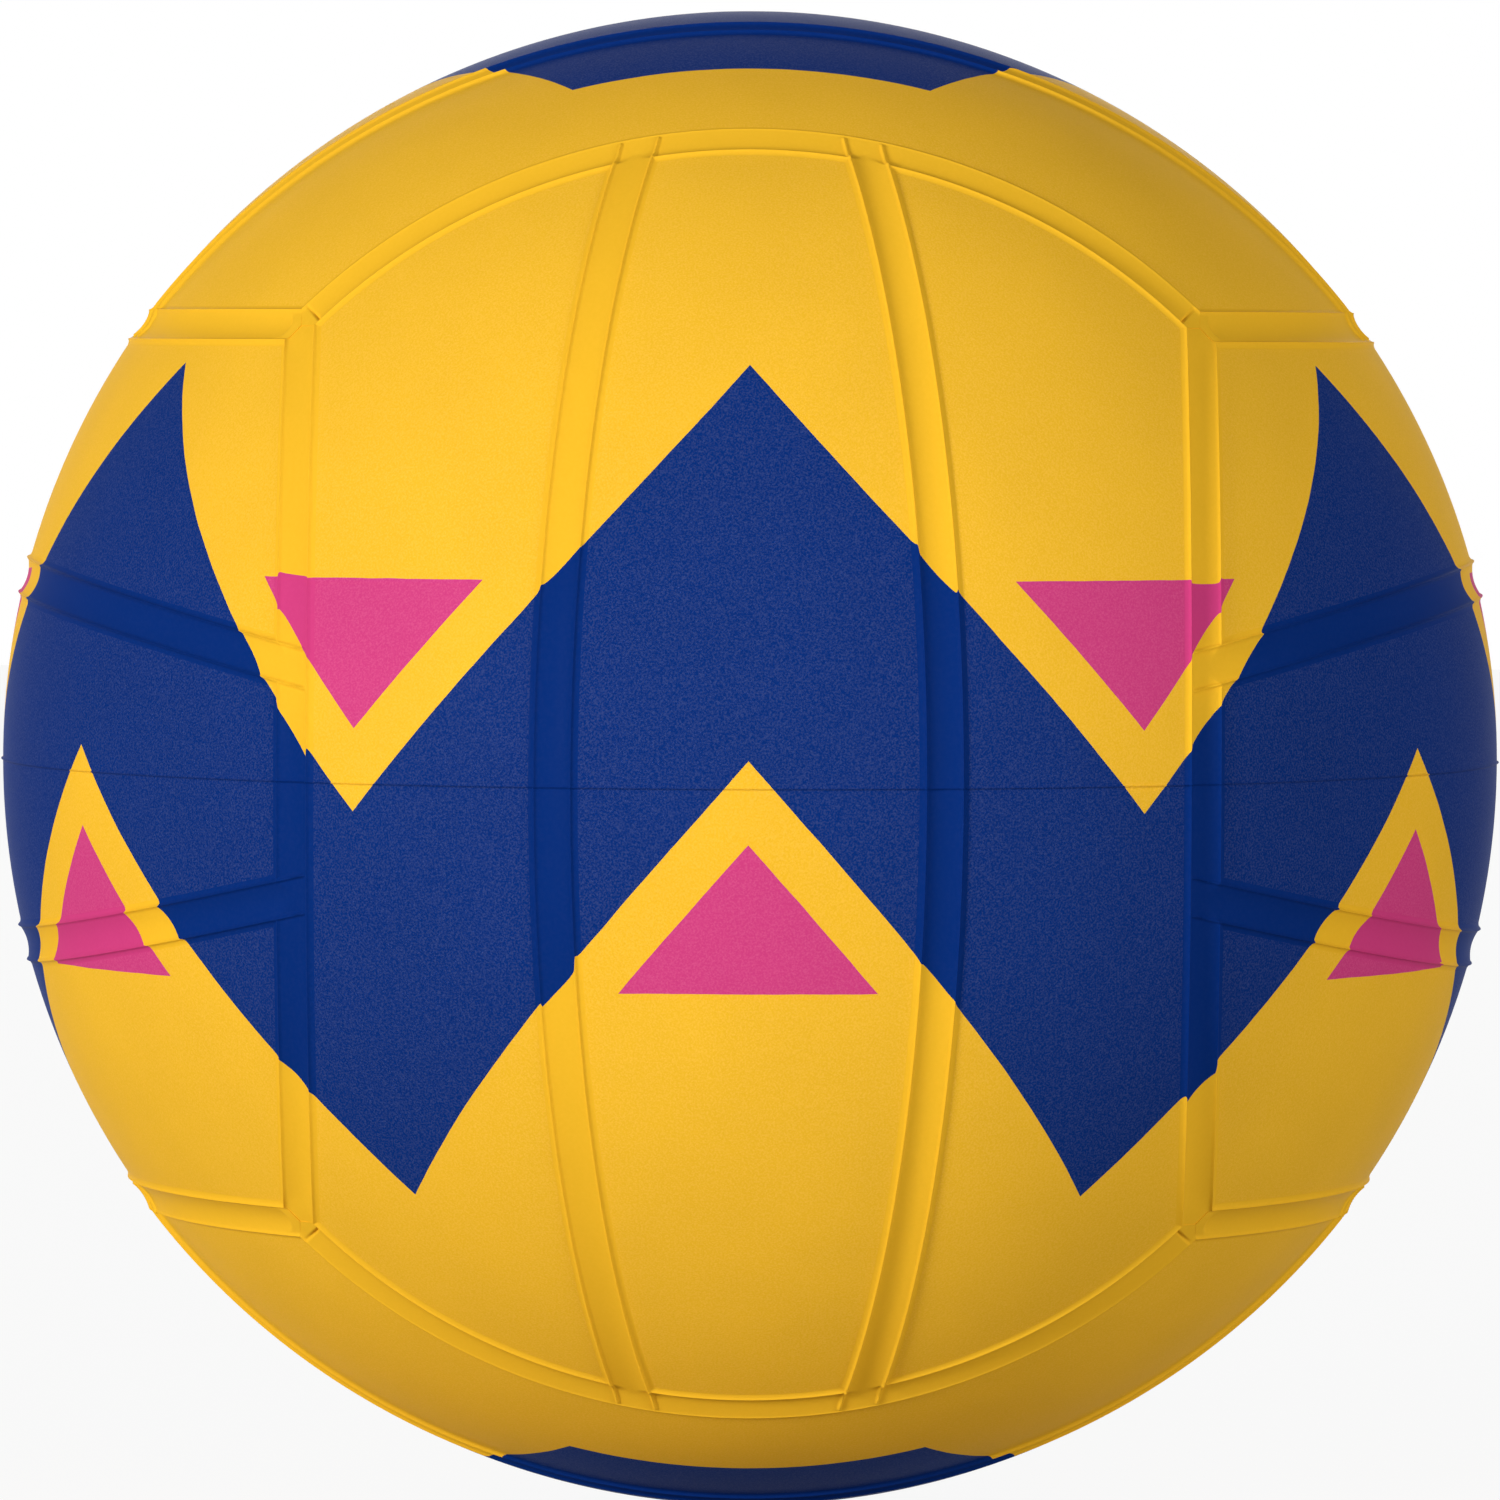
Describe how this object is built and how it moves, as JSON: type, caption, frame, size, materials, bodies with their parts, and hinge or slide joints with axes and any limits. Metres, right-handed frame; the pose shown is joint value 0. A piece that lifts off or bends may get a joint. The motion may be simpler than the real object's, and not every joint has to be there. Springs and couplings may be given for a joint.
{
  "type": "water polo ball",
  "caption": "Round inflatable rubber ball with long cover panels, raised-lip channels between them and a self-sealing needle valve at the top.",
  "frame": {"origin": "the ball's centre", "axes": "-Y is the face that looks at the viewer, with its strips upright along Z; +Z points out of the valve; +X is the viewer's right"},
  "size_m": [0.22, 0.22, 0.2199],
  "materials": {
    "cover_rubber": "matt moulded rubber, printed",
    "channel_rubber": "matt moulded rubber, printed",
    "backing_rubber": "matt",
    "nylon_thread": "wound thread set in latex",
    "butyl_bladder": "satin",
    "valve_rubber": "matt",
    "plug_rubber": "satin"
  },
  "bodies": {
    "ball": {"panel_front_left": "cover_rubber", "panel_front_middle": "cover_rubber", "panel_front_right": "cover_rubber", "panel_back_left": "cover_rubber", "panel_back_middle": "cover_rubber", "panel_back_right": "cover_rubber", "panel_left_upper": "cover_rubber", "panel_left_middle": "cover_rubber", "panel_left_lower": "cover_rubber", "panel_right_upper": "cover_rubber", "panel_right_middle": "cover_rubber", "panel_right_lower": "cover_rubber", "panel_top_front": "cover_rubber", "panel_top_middle": "cover_rubber", "panel_top_back": "cover_rubber", "panel_bottom_front": "cover_rubber", "panel_bottom_middle": "cover_rubber", "panel_bottom_back": "cover_rubber", "channel_front_left": "channel_rubber", "channel_front_right": "channel_rubber", "channel_back_left": "channel_rubber", "channel_back_right": "channel_rubber", "channel_left_top": "channel_rubber", "channel_left_bottom": "channel_rubber", "channel_right_top": "channel_rubber", "channel_right_bottom": "channel_rubber", "channel_top_front": "channel_rubber", "channel_top_back": "channel_rubber", "channel_bottom_front": "channel_rubber", "channel_bottom_back": "channel_rubber", "inner_channel_front_left": "channel_rubber", "inner_channel_front_right": "channel_rubber", "inner_channel_back_left": "channel_rubber", "inner_channel_back_right": "channel_rubber", "inner_channel_left_upper": "channel_rubber", "inner_channel_left_lower": "channel_rubber", "inner_channel_right_upper": "channel_rubber", "inner_channel_right_lower": "channel_rubber", "inner_channel_top_front": "channel_rubber", "inner_channel_top_back": "channel_rubber", "inner_channel_bottom_front": "channel_rubber", "inner_channel_bottom_back": "channel_rubber", "backing_layer": "backing_rubber", "thread_winding": "nylon_thread", "bladder": "butyl_bladder", "valve_housing": "valve_rubber"},
    "plug": {"valve_plug": "plug_rubber"}
  },
  "joints": [
    {"name": "plug_slide", "type": "slide", "parent": "ball", "child": "plug", "axis": [0, 0, 1], "range_m": [0, 0.022]}
  ]
}
